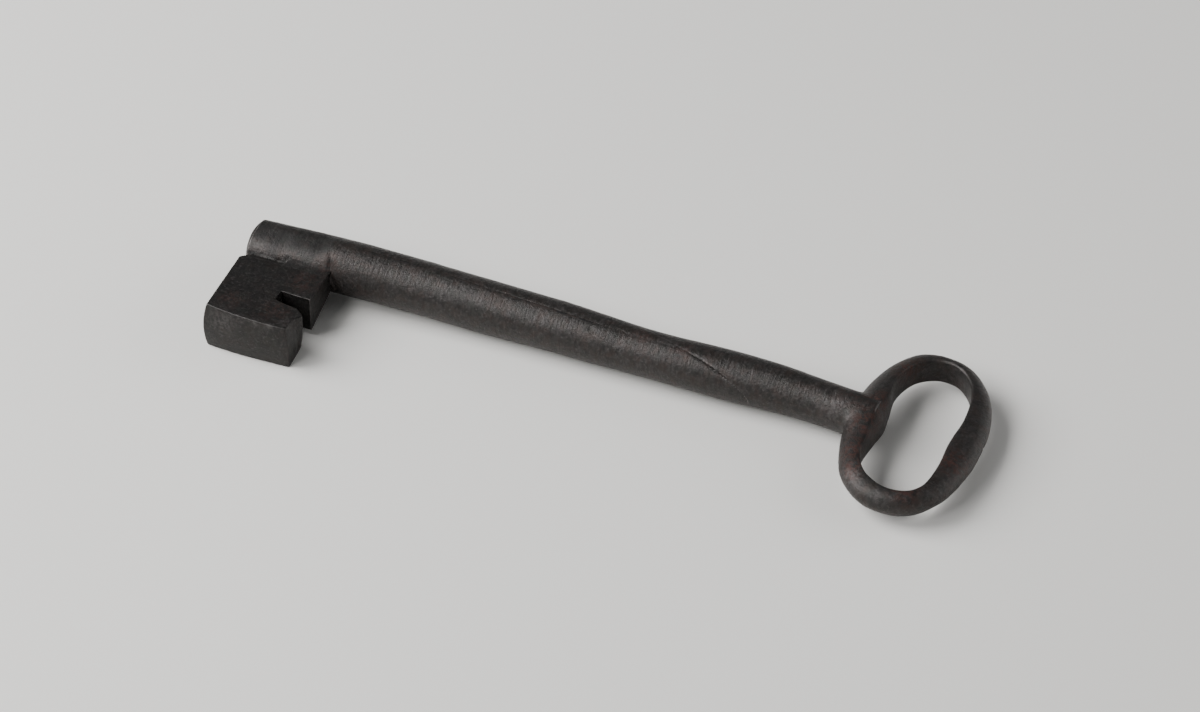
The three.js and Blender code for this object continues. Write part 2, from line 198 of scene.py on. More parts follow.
# Bit: distances are from the shank's centre line, towards -y. A line is its value there and its slope.
BIT_INSIDE = 4.5
BIT_REACH = 41.2
BIT_TIP_SIDE = (-0.92, 0.108)
BIT_TIP_NOTCH = [(2.4, 4.5), (2.4, 10.2), (0.44, 12.6)]
BIT_ROOT_SIDE = (30.5, 0.04)
BIT_BOW_EDGE = [(31.85, 41.2), (31.85, 37.4), (32.0, 34.6), (33.25, 32.7), (33.0, 32.1), (32.3, 31.35)]
BIT_RIGHT = 31.5
WARD_FAR = [(30.0, 29.7), (26.4, 29.3), (21.2, 28.35)]
WARD_NEAR = [(21.3, 23.7), (31.5, 23.9)]
BIT_BLOCK = 16.0
BIT_GRID = 0.5
BIT_SPAN = (-2, 34)

# Edges of the bit's block: how far they are broken, and in how many steps.
BIT_FOOT_BREAK = 0.5
BIT_FOOT_STEPS = 4
BIT_BREAK = 0.32
BIT_BREAK_STEPS = 3
BIT_BREAK_ANGLE = math.radians(40)
BIT_FOOT_BAND = 1
ROUND_PROFILE = 0.5

# Underside and top face of the bit, with the valley by the shank, the rise past it, and where they change.
BIT_LOW = [(0, 9.0), (8, 6.8), (24, 1.9), (30.5, 0.6), (33, 0.2), (41.2, 0.0)]
BIT_HIGH = (13.62, 0.0723)
BIT_EDGE_TAPER = 2.261
BIT_STEP_SPAN = (14.9, 15.6)
VALLEY_DEPTH = 1.6
VALLEY_AT = 7.5
VALLEY_WIDTH = 2.5
RISE_HEIGHT = 1.0
RISE_AT = 6.5
RISE_WIDTH = 2.2
RISE_END = (19, 30)

# Outer face of the bit: its crown, its bow along the edge, its spread foot, and how far in they reach.
BIT_CROWN = 0.9
BIT_FOOT_SPREAD = 0.25
BIT_MIDDLE = 17.3
BIT_HALF = 13.5
BIT_BOWED = 0.4
BIT_BOWED_SQUARE = 0.45
BIT_BOWED_FOURTH = 0.25
BIT_OUTER_REACH = 3

# Sides of the bit: the lean and belly of the tip side, and the flared lip past the ward slot.
TIP_SIDE_LEAN = 0.65
TIP_SIDE_BELLY = 0.95
BOW_SIDE_SPAN = (25, 31)
LIP_SPAN = (33.3, 36)
LIP_LEAN = 1.1
LIP_BELLY = 0.7
LIP_FOOT = (28.5, 0.09)
LIP_FOOT_SPAN = (29.7, 31.2)
LIP_FOOT_POWER = 3
BIT_DENT_WAY = Vector((0.6, 0.4, 1))

# Braze skins: the box of the key that each fills, then voxels, smoothing, swelling and share of wear.
NECK_BRAZE = {
    "box": ((194, -16, -1), (212, 15, 17)), "voxel": 0.55, "rounds": 44, "swell": 0.14, "wear": 0.4,
}
TOP_BRAZE = {
    "box": ((0.8, -12.5, 11.0), (30.4, -6.8, 17.2)), "voxel": 0.45, "rounds": 3, "swell": 0.02, "wear": 0.0,
}
UNDER_BRAZE = {
    "box": ((0.8, -13.5, 2), (30.4, -4.5, 9)), "voxel": 0.45, "rounds": 12, "swell": 0.02, "wear": 0.0,
}
SKIN_SINK = 0.35
SKIN_FADE = 1.4
SKIN_THICKNESS = 0.5
SKIN_MARGIN = 5
SMOOTHING = 0.5

# Edges that are shaded sharp: those that turn more than an angle, or none.
SHARP_ANGLE = math.radians(50)
NO_SHARP_ANGLE = math.pi

# Marks of use and age: a point of the key, how wide the mark is and how deep.
PITS = [
    ((15.5, -7.6, 13.8), 0.9, 0.55),
    ((12.2, -8.4, 12.9), 0.9, 0.30),
    ((199.5, -2.1, 14.5), 1.6, 0.30),
    ((119.0, -3.4, 15.1), 0.7, 0.22),
    ((121.2, -3.9, 15.0), 0.5, 0.15),
    ((247.7, 0.1, 7.0), 0.9, 0.50),
    ((91.5, -4.8, 14.3), 0.8, 0.12),
    ((8.0, -35.6, 15.6), 1.2, 0.12),
    ((11.5, -34.4, 15.4), 1.0, 0.10),
    ((222.5, -36.0, 9.0), 0.9, 0.18),
]
PIT_REACH = 3

# Colours of the patina, from the deepest black to bare metal. The deepest black also paints shade and the
# bare metal also paints highlights.
DEEP_BLACK = (0.008, 0.008, 0.008, 1)
BLACK_IRON = (0.022, 0.020, 0.019, 1)
GREY_IRON = (0.048, 0.043, 0.042, 1)
BROWN_IRON = (0.048, 0.033, 0.028, 1)
RED_BROWN = (0.066, 0.031, 0.025, 1)
GREEN_BLACK = (0.026, 0.028, 0.024, 1)
# Bare metal, also used to paint highlights.
BARE_IRON_AND_HIGHLIGHT = (0.145, 0.132, 0.130, 1)

# Spots of the key with a colour painted on: reddish stains, pale spots that paint highlights (on the bit
# partly rubbed metal) and dark spots that paint shade. Each is a point and its reach.
SHANK_REDS = [(208, -2, 12, 12), (31.8, -5, 15, 6), (30, -6, 14, 7), (150, -2, 15, 6), (135, -1, 15, 6)]
# Pale spots paint highlights: on the flat by the tip and on the neck.
SHANK_PAINTED_HIGHLIGHTS = [(4, -8.2, 13, 8), (203, -6.5, 12, 9)]
# Dark spots paint shade: over the barrel's top by the tip, in the shoulder groove and on the neck.
SHANK_PAINTED_SHADE = [
    (3, -0.5, 20, 9), (10, -1.5, 20, 9.5), (17, -1.5, 20.5, 9.5), (24, -1.5, 20.5, 9),
    (30, -7, 16.5, 3), (209, 1, 15.5, 7),
]
BOW_REDS = [
    (213.5, 1, 14, 10), (214, -9, 13, 10), (213.5, -21, 12, 9), (216, -29, 11, 7),
    (233.8, -33, 11, 7), (242.5, -15, 11, 9), (216, 22, 11, 8),
]
# Pale spots paint highlights on the far arm's ridge and on the near arm.
BOW_PAINTED_HIGHLIGHTS = [(229, 26, 11.8, 9), (217, -31, 9.5, 8)]
# Dark spots paint shade along the ridge by the neck and over the near arm's top.
BOW_PAINTED_SHADE = [
    (214, 4, 15, 8), (213.5, -7, 14.5, 8), (214.5, -16, 13, 7.5), (216.5, -24, 12, 7),
    (214.5, -27, 9, 5), (222, -31, 12.5, 4), (229, -34, 12.5, 4),
]
BIT_REDS = [(24, -34, 13, 9), (26, -16, 13, 9), (9, -35, 15, 7)]
# Pale spots on the bit: partly rubbed metal, partly painted highlights along the outer face's top edge.
BIT_RUBS_AND_PAINTED_HIGHLIGHTS = [(10, -41, 12, 7), (30, -38, 14, 4), (16, -42, 15.3, 3), (21, -42, 15.1, 3), (26, -42, 14.8, 3)]
# Dark spots paint shade in the crease where the bit meets the barrel.
BIT_PAINTED_SHADE = [(2, -9, 12, 5)]
ROOT_PAINTED_SHADE = [(2, -9, 13.5, 9), (16, -9, 13.5, 9), (28, -9, 13.5, 9)]

# Irons: how the file marks run, the spots, and how red, how bumpy and how black each one is.
SHANK_IRON = {
    "stretch": (1.15, 0.2, 0.2), "reds": SHANK_REDS, "pale": SHANK_PAINTED_HIGHLIGHTS, "dull": SHANK_PAINTED_SHADE,
    "redness": 0.35, "bump": 0.75, "black": 0.0,
}
BOW_IRON = {
    "stretch": (0.8, 0.8, 0.8), "reds": BOW_REDS, "pale": BOW_PAINTED_HIGHLIGHTS, "dull": BOW_PAINTED_SHADE,
    "redness": 1.0, "bump": 0.75, "black": 0.0,
}
BIT_IRON = {
    "stretch": (0.12, 1.1, 0.6), "reds": BIT_REDS, "pale": BIT_RUBS_AND_PAINTED_HIGHLIGHTS, "dull": BIT_PAINTED_SHADE,
    "redness": 0.45, "bump": 0.45, "black": 0.55,
}
# The root's iron is blackened to paint shade where the barrel meets the bit.
ROOT_IRON = {
    "stretch": (1.15, 0.2, 0.2), "reds": SHANK_REDS, "pale": BIT_RUBS_AND_PAINTED_HIGHLIGHTS, "dull": ROOT_PAINTED_SHADE,
    "redness": 0.4, "bump": 0.6, "black": 0.5,
}

# Noise patterns: scale per millimetre, detail and roughness.
FINE = (1.1, 4.0, 0.65)
GRAIN = (3.2, 3.0, 0.55)
FILE_MARKS = (1.0, 4.0, 0.65)
BRAZE_FINE = (2.2, 4.0, 0.55)
BRAZE_GRAIN = (6.0, 3.0, 0.55)

# Patches: a noise pattern and the two levels that it fades between.
BROAD = ((0.06, 3.0, 0.55), (0.35, 0.65))
MOTTLE = ((0.55, 5.0, 0.65), (0.36, 0.64))
BROWN = ((0.28, 5.0, 0.6), (0.42, 0.66))
TINT = ((0.42, 4.0, 0.6), (0.44, 0.62))
STAINED = ((0.6, 5.0, 0.65), (0.40, 0.60))
RUB_AND_HIGHLIGHT_PATCHES = ((0.9, 4.0, 0.55), (0.35, 0.65))
EDGE_BREAKS = ((0.8, 4.0, 0.55), (0.34, 0.55))
PIT_FIELDS = ((0.25, 2.0, 0.55), (0.54, 0.64))
BRAZE_PATCHES = ((0.4, 5.0, 0.55), (0.36, 0.64))

# Inputs and output of a colour mix node.
MIX_LOW = 6
MIX_HIGH = 7
MIX_RESULT = 2

# Levels that single values fade between, and the scale of the small pits.
PIT_SCALE = 0.8
PIT_LEVELS = (0.05, 0.22)
EDGE_LEVELS = (0.09, 0.22)
CREASE_LEVELS = (0.06, 0.25)
SPARK_LEVELS = (0.52, 0.72)

# Shares of the patina's layers in its colour, its roughness and its height.
GREY_SHARE = {"mottle": 0.7, "broad": 0.3}
BROWN_SHARE = 0.5
# Share of the painted shade, and of the pale spots that paint highlights.
PAINTED_SHADE_SHARE = 0.85
TINT_SHARE = 0.35
PALE_SHARE = 0.35
EDGE_SHARE = 0.85
RED_EDGE_LOSS = 0.85
SPARK_SHARE = 0.22
PIT_SHARE = 0.6
CREASE_SHARE = 0.8
ROUGHNESS = 0.23
ROUGHNESS_SHARE = {
    "fine": 0.22, "files": 0.16, "mottle": 0.05, "pits": 0.12, "stain": 0.08, "crease": 0.35, "painted_shade": 0.25,
}
HEIGHT_SHARE = {"files": 2.6, "fine": 1.9, "grain": 0.6, "mottle": 0.2, "pits": -0.8}
METALLIC = 0.6
BUMP_DISTANCE = 0.1
BRAZE_BROWN_SHARE = 0.6
BRAZE_ROUGHNESS = 0.60
BRAZE_ROUGHNESS_SHARE = 0.14
BRAZE_GRAIN_HEIGHT = 0.3
BRAZE_BUMP = 0.6

# View of the photograph: its angles and distance, the point it is centred on, and the width of the frame.
VIEW_AZIMUTH = math.radians(23.3)
VIEW_ELEVATION = math.radians(39.0)
VIEW_DISTANCE = 1200 * MM
VIEW_TARGET = (119.78, 2.7, 0.0)
SENSOR_WIDTH = 36.0
FRAME_PIXELS = 1200
PIXEL_WIDTH = 0.3157
FRAME_WIDTH = FRAME_PIXELS * PIXEL_WIDTH * MM

# Studio in metres and watts. Each lamp is its name, place, size and power.
FLOOR_COLOUR = (0.895, 0.882, 0.85, 1)
FLOOR_ROUGHNESS = 0.8
FLOOR_HALF = 3.0
SKY_COLOUR = (0.92, 0.93, 0.95, 1)
SKY_CHANGE = (0.25, 0.6)
WALL_LIGHT = 0.25
CEILING_LIGHT = 0.12
LAMP_TARGET = (0, 0, 0)
LAMPS = [
    ("window_left", (-1.04, -0.30, 0.94), (1.1, 1.1), 31.5),
    ("front_top", (-0.46, -1.05, 0.94), (0.45, 0.4), 6.5),
    ("right_fill", (1.2, 0.6, 0.5), (1.5, 0.8), 7.5),
]

# The key's own origin, below the centre of the barrel's tip on the ground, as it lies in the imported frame.
BOW_TOP = 33.71
KEY_ORIGIN = Vector((
    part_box("barrel")[0].x,
    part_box("bow_ring")[1].y - BOW_TOP * MM,
    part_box("bit")[0].z,
))


def place(x, y, z):
    """A point of the key in millimetres, as a point of the frame in metres."""
    return KEY_ORIGIN + Vector((x, y, z)) * MM


def along(rows, x, column):
    """Smooth value between stations, by Hermite pieces."""
    last = len(rows) - 1
    if x <= rows[0][0]:
        return rows[0][column]
    if x >= rows[last][0]:
        return rows[last][column]
    i = max(k for k in range(last) if rows[k][0] <= x)

    def slope(k):
        a, b = rows[max(k - 1, 0)], rows[min(k + 1, last)]
        return (b[column] - a[column]) / (b[0] - a[0])

    span = rows[i + 1][0] - rows[i][0]
    t = (x - rows[i][0]) / span
    rise = 3 * t * t - 2 * t ** 3
    straight = rows[i][column] * (1 - rise) + rows[i + 1][column] * rise
    return straight + span * ((t ** 3 - 2 * t * t + t) * slope(i) + (t ** 3 - t * t) * slope(i + 1))


def axis_y(x):
    return along(SHANK, x, 1)


def axis_z(x):
    return along(SHANK, x, 2)


def shank_radius(x):
    return along(SHANK, x, 3)


def line(rule, distance):
    return rule[0] + rule[1] * distance


def fade(value, low, high):
    """0 below low, 1 above high, smooth between."""
    t = min(1, max(0, (value - low) / (high - low)))
    return t * t * (3 - 2 * t)


def bell(value, width):
    return math.exp(-((value / width) ** 2))


def forged(point, ripples):
    """Sum of even noises at a point, each with its depth, its size in millimetres and its seed."""
    return sum(depth * noise.noise(Vector(point) / size + Vector((seed, -seed, seed * 2)))
               for depth, size, seed in ripples)


def everything(bm):
    return bm.verts[:] + bm.edges[:] + bm.faces[:]


def picked(geometry, kind):
    return [part for part in geometry if isinstance(part, kind)]


def press_pits(bm):
    """Sinks the marks of age into a finished skin."""
    bm.normal_update()
    for spot, width, depth in PITS:
        centre = Vector(spot)
        for vertex in bm.verts:
            gap = (vertex.co - centre).length
            if gap < PIT_REACH * width:
                vertex.co -= vertex.normal * depth * bell(gap, width)


def store_wear(bm, share):
    """Keeps at each vertex how far it stands out from its neighbours: more on edges, less in creases."""
    bm.normal_update()
    worn = bm.verts.layers.float.new("worn")
    for vertex in bm.verts:
        around = [edge.other_vert(vertex).co for edge in vertex.link_edges]
        out = sum((vertex.co - other).normalized().dot(vertex.normal) for other in around)
        vertex[worn] = share * out / max(1, len(around))


def to_object(bm, name, node, sharp=SHARP_ANGLE, wear=1.0):
    """A finished mesh in key millimetres becomes a piece that rides on the key and stands for its node."""
    bmesh.ops.recalc_face_normals(bm, faces=bm.faces)
    press_pits(bm)
    store_wear(bm, wear)
    for face in bm.faces:
        face.smooth = True
    for edge in bm.edges:
        edge.smooth = edge.calc_face_angle(0) < sharp
    for vertex in bm.verts:
        spot = place(*vertex.co)
        vertex.co = Vector((spot.x, spot.y, max(spot.z, 0)))
    mesh = bpy.data.meshes.new(name)
    bm.to_mesh(mesh)
    bm.free()
    piece = bpy.data.objects.new(name, mesh)
    bpy.context.scene.collection.objects.link(piece)
    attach(piece, "root")
    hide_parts(node)
    return piece


def turned(profile, sides):
    """A turned body about +X from a profile of (x, radius) points."""
    bm = bmesh.new()
    line_up = [bm.verts.new((x, 0, radius)) for x, radius in profile]
    edges = [bm.edges.new(pair) for pair in zip(line_up, line_up[1:])]
    bmesh.ops.spin(bm, geom=line_up + edges, cent=(0, 0, 0), axis=(1, 0, 0), angle=TURN, steps=sides,
                   use_merge=True)
    bmesh.ops.remove_doubles(bm, verts=bm.verts, dist=MERGE_DISTANCE)
    return bm


SCARF_POINT = Vector((SCARF_X, axis_y(SCARF_X), axis_z(SCARF_X)))
SCARF_NORMAL = Matrix.Rotation(SCARF_TILT, 3, "Y") @ Matrix.Rotation(SCARF_TURN, 3, "Z") @ Vector((1, 0, 0))


def cut_at_scarf(bm, keep_tip):
    """Keeps one side of the slanted lap and closes the cut."""
    cut = bmesh.ops.bisect_plane(bm, geom=everything(bm), plane_co=SCARF_POINT, plane_no=SCARF_NORMAL,
                                 clear_outer=keep_tip, clear_inner=not keep_tip)
    bmesh.ops.edgeloop_fill(bm, edges=picked(cut["geom_cut"], bmesh.types.BMEdge))


def seam_angle(x):
    """Where the seam lies round the shank."""
    return SEAM_LEAN * fade(x, *SEAM_LEAN_SPAN)


def shank_surface(x, angle):
    """Radial forging marks of the shank in millimetres, angle 0 at the top and 90 degrees towards -Y."""
    radius = shank_radius(x)
    spot = (x, radius * math.cos(angle), radius * math.sin(angle))
    skin = forged((x / SHANK_HAMMER_STRETCH, *spot[1:]), SHANK_HAMMER) + forged(spot, SHANK_DENTS)
    shoulder = x - SHOULDER_X - SHOULDER_LEAN * angle + forged(spot, SHOULDER_WAVER)
    reach = fade(angle, *SHOULDER_START) * (1 - fade(angle, *SHOULDER_END))
    groove = -SHOULDER_DEPTH * bell(shoulder, SHOULDER_WIDTH) * reach
    lip = SHOULDER_LIP * bell(shoulder + SHOULDER_LIP_SHIFT, SHOULDER_LIP_WIDTH) * reach
    flat_at = FLAT_ANGLE + FLAT_SWING * bell(x - FLAT_SWING_X, FLAT_SWING_LENGTH)
    facet = -FLAT_DEPTH * bell(angle - flat_at, FLAT_WIDTH) * (1 - fade(x, *FLAT_END))
    starts = fade(x, SEAM_START, SEAM_START + SEAM_RUN_IN)
    ends = 1 - fade(x, SEAM_END - SEAM_RUN_OUT, SEAM_END)
    seam_groove = -SEAM_DEPTH * bell(radius * (angle - seam_angle(x)), SEAM_WIDTH) * starts * ends
    return skin + groove + lip + facet + seam_groove


def shank_body(start, end, bore):
    """The shank between two stations, with its rounded tip and bore where it has one."""
    count = max(2, round((end - start) / SHANK_STEP))
    xs = [start + (end - start) * i / count for i in range(count + 1)]
    if bore:
        profile = [(BORE_DEPTH, 0.0)] + [(x, BORE_RADIUS + wider) for x, wider in BORE_MOUTH]
        profile += [(0.0, radius) for radius in TIP_FACE] + TIP_EDGE
        profile += [(x, shank_radius(x)) for x in xs if x > TIP_EDGE_END]
    else:
        profile = [(start, 0.0)] + [(x, shank_radius(x)) for x in xs]
    bm = turned(profile + [(end, 0.0)], SHANK_SIDES)
    for vertex in bm.verts:
        x, y, z = vertex.co
        radius = math.hypot(y, z)
        if radius > (MARKED_NECK_RADIUS if x > NECK_START else MARKED_RADIUS):
            grown = min(1, fade(x, *MARK_TIP_FADE) * (radius - MARK_FOOT) / MARK_GROWTH)
            stretch = 1 + shank_surface(x, math.atan2(-y, z)) * grown / radius
            y, z = y * stretch, z * stretch
        vertex.co = Vector((x, y + axis_y(x), z + axis_z(x)))
    return bm


def open_lap(bm, rise):
    """A fine V along the lap, deep where the crack stands open, and the small step between its two sides."""
    for vertex in bm.verts:
        x, y, z = vertex.co
        away = (vertex.co - SCARF_POINT).dot(SCARF_NORMAL)
        centre = Vector((x, axis_y(x), axis_z(x)))
        out = vertex.co - centre
        if out.length < LAP_LEAST_RADIUS or abs(away) > LAP_REACH:
            continue
        front = bell(x - CRACK_X, CRACK_LENGTH) if y < centre.y else 0.0
        broken = min(1, max(0, CRACK_SHARE + forged(vertex.co, CRACK_BREAKS)))
        depth = (CLOSED_DEPTH + CRACK_DEPTH * front * broken) * bell(away, CRACK_WIDTH)
        depth += front * (DISH_DEPTH * bell(away, DISH_WIDTH) - rise * bell(away, LAP_RISE_WIDTH))
        vertex.co -= out.normalized() * depth


def make_barrel():
    bm = shank_body(0, BARREL_END, True)
    cut_at_scarf(bm, True)
    open_lap(bm, BARREL_LAP_RISE)
    return to_object(bm, "barrel_forged", "barrel")


def make_stem():
    bm = shank_body(STEM_START, STEM_END, False)
    cut_at_scarf(bm, False)
    open_lap(bm, STEM_LAP_RISE)
    return to_object(bm, "stem_forged", "stem")


def turn_between(a, b):
    return math.atan2(math.sin(a - b), math.cos(a - b))


def outline(points):
    """Radius of a closed smooth outline about the bow's centre, as a function of the angle."""
    fine = []
    count = len(points)
    for k in range(count):
        p = [Vector(points[(k + j) % count]) - BOW_CENTRE for j in (-1, 0, 1, 2)]
        for step in range(OUTLINE_STEPS):
            t = step / OUTLINE_STEPS
            spot = 0.5 * (2 * p[1] + (p[2] - p[0]) * t + (2 * p[0] - 5 * p[1] + 4 * p[2] - p[3]) * t * t
                          + (3 * p[1] - p[0] - 3 * p[2] + p[3]) * t ** 3)
            fine.append((math.atan2(spot.y, spot.x), spot.length))
    fine.sort()
    fine = [(fine[-1][0] - TURN, fine[-1][1])] + fine + [(fine[0][0] + TURN, fine[0][1])]

    def radius(angle):
        angle = turn_between(angle, 0)
        after = next(k for k in range(1, len(fine)) if fine[k][0] >= angle)
        (a0, r0), (a1, r1) = fine[after - 1], fine[after]
        return r0 + (r1 - r0) * (angle - a0) / max(a1 - a0, TINY)

    return radius


def bow_section(width, rise, setback):
    """Section of the bow as (outward, up) points: a nearly flat inner wall, a ridge, and a round outside."""
    half, small = BOW_HEIGHT / 2, BOW_RIDGE_ROUND
    top = half + rise
    back_from = setback + small
    quarter, walls = SECTION_CORNER_STEPS, SECTION_WALL_STEPS
    wall = [(setback * i / walls, (top - small) * i / walls) for i in range(walls)]
    ridge = []
    for i in range(quarter + 1):
        a = math.pi - RIGHT_ANGLE * i / quarter
        ridge.append((back_from + small * math.cos(a), top - small + small * math.sin(a)))
    back = []
    under = []
    for i in range(1, 2 * quarter + 1):
        a = RIGHT_ANGLE * i / (2 * quarter)
        back.append((back_from + (width - back_from) * math.sin(a), top * math.cos(a)))
        under.append((small + (width - small) * math.cos(a), -half * math.sin(a)))
    foot = []
    for i in range(1, quarter + 1):
        a = RIGHT_ANGLE * (1 + i / quarter)
        foot.append((small + small * math.cos(a), small - half - small * math.sin(a)))
    low_wall = [(0.0, (small - half) * (1 - i / walls)) for i in range(1, walls)]
    return wall + ridge + back + under + foot + low_wall


def make_bow():
    outer, inner = outline(BOW_OUTER), outline(BOW_INNER)
    bm = bmesh.new()
    number = bm.verts.layers.int.new("corner")
    section = bow_section(SEED_WIDTH, 0, SEED_SETBACK)
    seed = [bm.verts.new((SEED_RADIUS + s, 0, z)) for s, z in section]
    for i, vertex in enumerate(seed):
        vertex[number] = i
    edges = [bm.edges.new(pair) for pair in zip(seed, seed[1:] + seed[:1])]
    bmesh.ops.spin(bm, geom=seed + edges, cent=(0, 0, 0), axis=(0, 0, 1), angle=TURN, steps=BOW_STEPS,
                   use_merge=True)
    bmesh.ops.remove_doubles(bm, verts=bm.verts, dist=MERGE_DISTANCE)
    for vertex in bm.verts:
        angle = math.atan2(vertex.co.y, vertex.co.x)
        near, far = inner(angle), outer(angle)
        from_neck = turn_between(angle, BOW_NECK_ANGLE)
        rise = BOW_NECK_RISE * bell(from_neck, BOW_NECK_SPREAD)
        setback = BOW_SETBACK * bell(from_neck, BOW_SETBACK_SPREAD)
        s, z = bow_section(far - near, rise, setback)[vertex[number]]
        out = Vector((math.cos(angle), math.sin(angle)))
        dent = forged((*(BOW_CENTRE + out * (near + s)), z), BOW_DENTS)
        s += dent * (1 if s > DENT_OUTSIDE_FROM * (far - near) else DENT_INWARD)
        if abs(z) > DENT_SIDE_BAND:
            z += dent * DENT_UPWARD * math.copysign(1, z)
        vertex.co = Vector((*(BOW_CENTRE + out * (near + s)), BOW_AXIS_HEIGHT + z))
    return to_object(bm, "bow_forged", "bow_ring")


def blade_high(distance, x):
    """Height of the bit's top face, with a valley by the shank up to a step and a rise past it."""
    face = line(BIT_HIGH, distance) - BIT_EDGE_TAPER * (x / BIT_REACH) * (distance / BIT_REACH)
    past = fade(x, *BIT_STEP_SPAN)
    valley = -VALLEY_DEPTH * bell(distance - VALLEY_AT, VALLEY_WIDTH) * (1 - past)
    rise = RISE_HEIGHT * bell(distance - RISE_AT, RISE_WIDTH) * past * (1 - fade(x, *RISE_END))
    return face + valley + rise


def break_edges(bm, edges, size, steps):
    bmesh.ops.bevel(bm, geom=edges, offset=size, offset_type="OFFSET", segments=steps, profile=ROUND_PROFILE,
                    affect="EDGES", material=-1)


def bit_block():
    """The bit as an upright block over its plan outline, with its edges broken."""
    corners = BIT_TIP_NOTCH + [(line(BIT_TIP_SIDE, BIT_REACH), BIT_REACH)]
    corners += BIT_BOW_EDGE + WARD_FAR + WARD_NEAR
    corners += [(line(BIT_ROOT_SIDE, BIT_INSIDE), BIT_INSIDE)]
    bm = bmesh.new()
    face = bm.faces.new([bm.verts.new((x, -distance, 0)) for x, distance in corners])
    up = bmesh.ops.extrude_face_region(bm, geom=[face])
    bmesh.ops.translate(bm, verts=picked(up["geom"], bmesh.types.BMVert), vec=(0, 0, BIT_BLOCK))
    bmesh.ops.recalc_face_normals(bm, faces=bm.faces)
    outer = BIT_FOOT_BAND - BIT_REACH
    foot = [e for e in bm.edges if all(v.co.z < BIT_FOOT_BAND and v.co.y < outer for v in e.verts)]
    break_edges(bm, foot, BIT_FOOT_BREAK, BIT_FOOT_STEPS)
    sharp = [e for e in bm.edges if e.calc_face_angle(0) > BIT_BREAK_ANGLE]
    break_edges(bm, sharp, BIT_BREAK, BIT_BREAK_STEPS)
    return bm


def bit_surface(x, y, z):
    """A point of the upright block, moved to where it lies on the forged bit."""
    distance = -y
    left = line(BIT_TIP_SIDE, distance)
    from_tip_side = 1 - min(1, max(0, (x - left) / (BIT_RIGHT - left)))
    low, high = along(BIT_LOW, distance, 1), blade_high(distance, x)
    share = z / BIT_BLOCK
    belly = 4 * share * (1 - share)
    lip_foot = fade(x, *BOW_SIDE_SPAN) * fade(distance, *LIP_FOOT_SPAN) * (1 - share) ** LIP_FOOT_POWER
    spread = fade(distance, *LIP_SPAN) * (LIP_LEAN * (0.5 - share) + LIP_BELLY * belly)
    aside = ((x - BIT_MIDDLE) / BIT_HALF) ** 2
    bowed = BIT_BOWED - BIT_BOWED_SQUARE * aside - BIT_BOWED_FOURTH * aside ** 2
    outward = BIT_CROWN * belly + bowed + BIT_FOOT_SPREAD * (1 - share) ** 2
    y -= outward * bell(distance - BIT_REACH, BIT_OUTER_REACH)
    x += from_tip_side * (TIP_SIDE_LEAN * (share - 0.5) - TIP_SIDE_BELLY * belly * distance / BIT_REACH)
    x += fade(x, *BOW_SIDE_SPAN) * spread
    x += lip_foot * (line(LIP_FOOT, distance) - x)
    spot = Vector((x, y, low + (high - low) * share))
    return spot + BIT_DENT_WAY * forged(spot, BIT_DENTS)


def make_bit():
    bm = bit_block()
    spans = [(BIT_SPAN, Vector((1, 0, 0))), ((-BIT_REACH, -BIT_INSIDE), Vector((0, 1, 0))),
             ((0, BIT_BLOCK), Vector((0, 0, 1)))]
    for (low, high), normal in spans:
        count = round((high - low) / BIT_GRID)
        for i in range(1, count):
            at = normal * (low + (high - low) * i / count)
            bmesh.ops.bisect_plane(bm, geom=everything(bm), plane_co=at, plane_no=normal)
    for vertex in bm.verts:
        vertex.co = bit_surface(*vertex.co)
    return to_object(bm, "bit_forged", "bit")


def remeshed(sources, voxel):
    """The forged pieces as one even skin, in key millimetres."""
    bm = bmesh.new()
    for source in sources:
        bm.from_mesh(source.data)
    mesh = bpy.data.meshes.new("joint")
    bm.to_mesh(mesh)
    bm.free()
    joint = bpy.data.objects.new("joint", mesh)
    bpy.context.scene.collection.objects.link(joint)
    remesh = joint.modifiers.new("remesh", "REMESH")
    remesh.mode = "VOXEL"
    remesh.voxel_size = voxel * MM
    graph = bpy.context.evaluated_depsgraph_get()
    whole = bpy.data.meshes.new_from_object(joint.evaluated_get(graph))
    bpy.data.objects.remove(joint)
    bm = bmesh.new()
    bm.from_mesh(whole)
    bpy.data.meshes.remove(whole)
    for vertex in bm.verts:
        vertex.co = (vertex.co - KEY_ORIGIN) / MM
    return bm


def make_braze(sources, skin, name, node):
    """The rounded skin over forged pieces where they meet, smoothed into their corner and sunk at its rim."""
    bm = remeshed(sources, skin["voxel"])
    low, high = (Vector(corner) for corner in skin["box"])
    far = [v for v in bm.verts
           if any(v.co[i] < low[i] - SKIN_MARGIN or v.co[i] > high[i] + SKIN_MARGIN for i in range(3))]
    bmesh.ops.delete(bm, geom=far, context="VERTS")
    for _ in range(skin["rounds"]):
        bmesh.ops.smooth_vert(bm, verts=bm.verts, factor=SMOOTHING, use_axis_x=True, use_axis_y=True,
                              use_axis_z=True)
    bm.normal_update()
    for vertex in bm.verts:
        inside = min(min(vertex.co[i] - low[i], high[i] - vertex.co[i]) for i in range(3))
        vertex.co += vertex.normal * (skin["swell"] - SKIN_SINK * (1 - fade(inside, 0, SKIN_FADE)))
    for axis in range(3):
        for corner, way in ((low, -1), (high, 1)):
            normal = Vector((0, 0, 0))
            normal[axis] = way
            bmesh.ops.bisect_plane(bm, geom=everything(bm), plane_co=corner, plane_no=normal,
                                   clear_outer=True)
    bmesh.ops.solidify(bm, geom=bm.faces[:], thickness=SKIN_THICKNESS)
    return to_object(bm, name, node, NO_SHARP_ANGLE, skin["wear"])


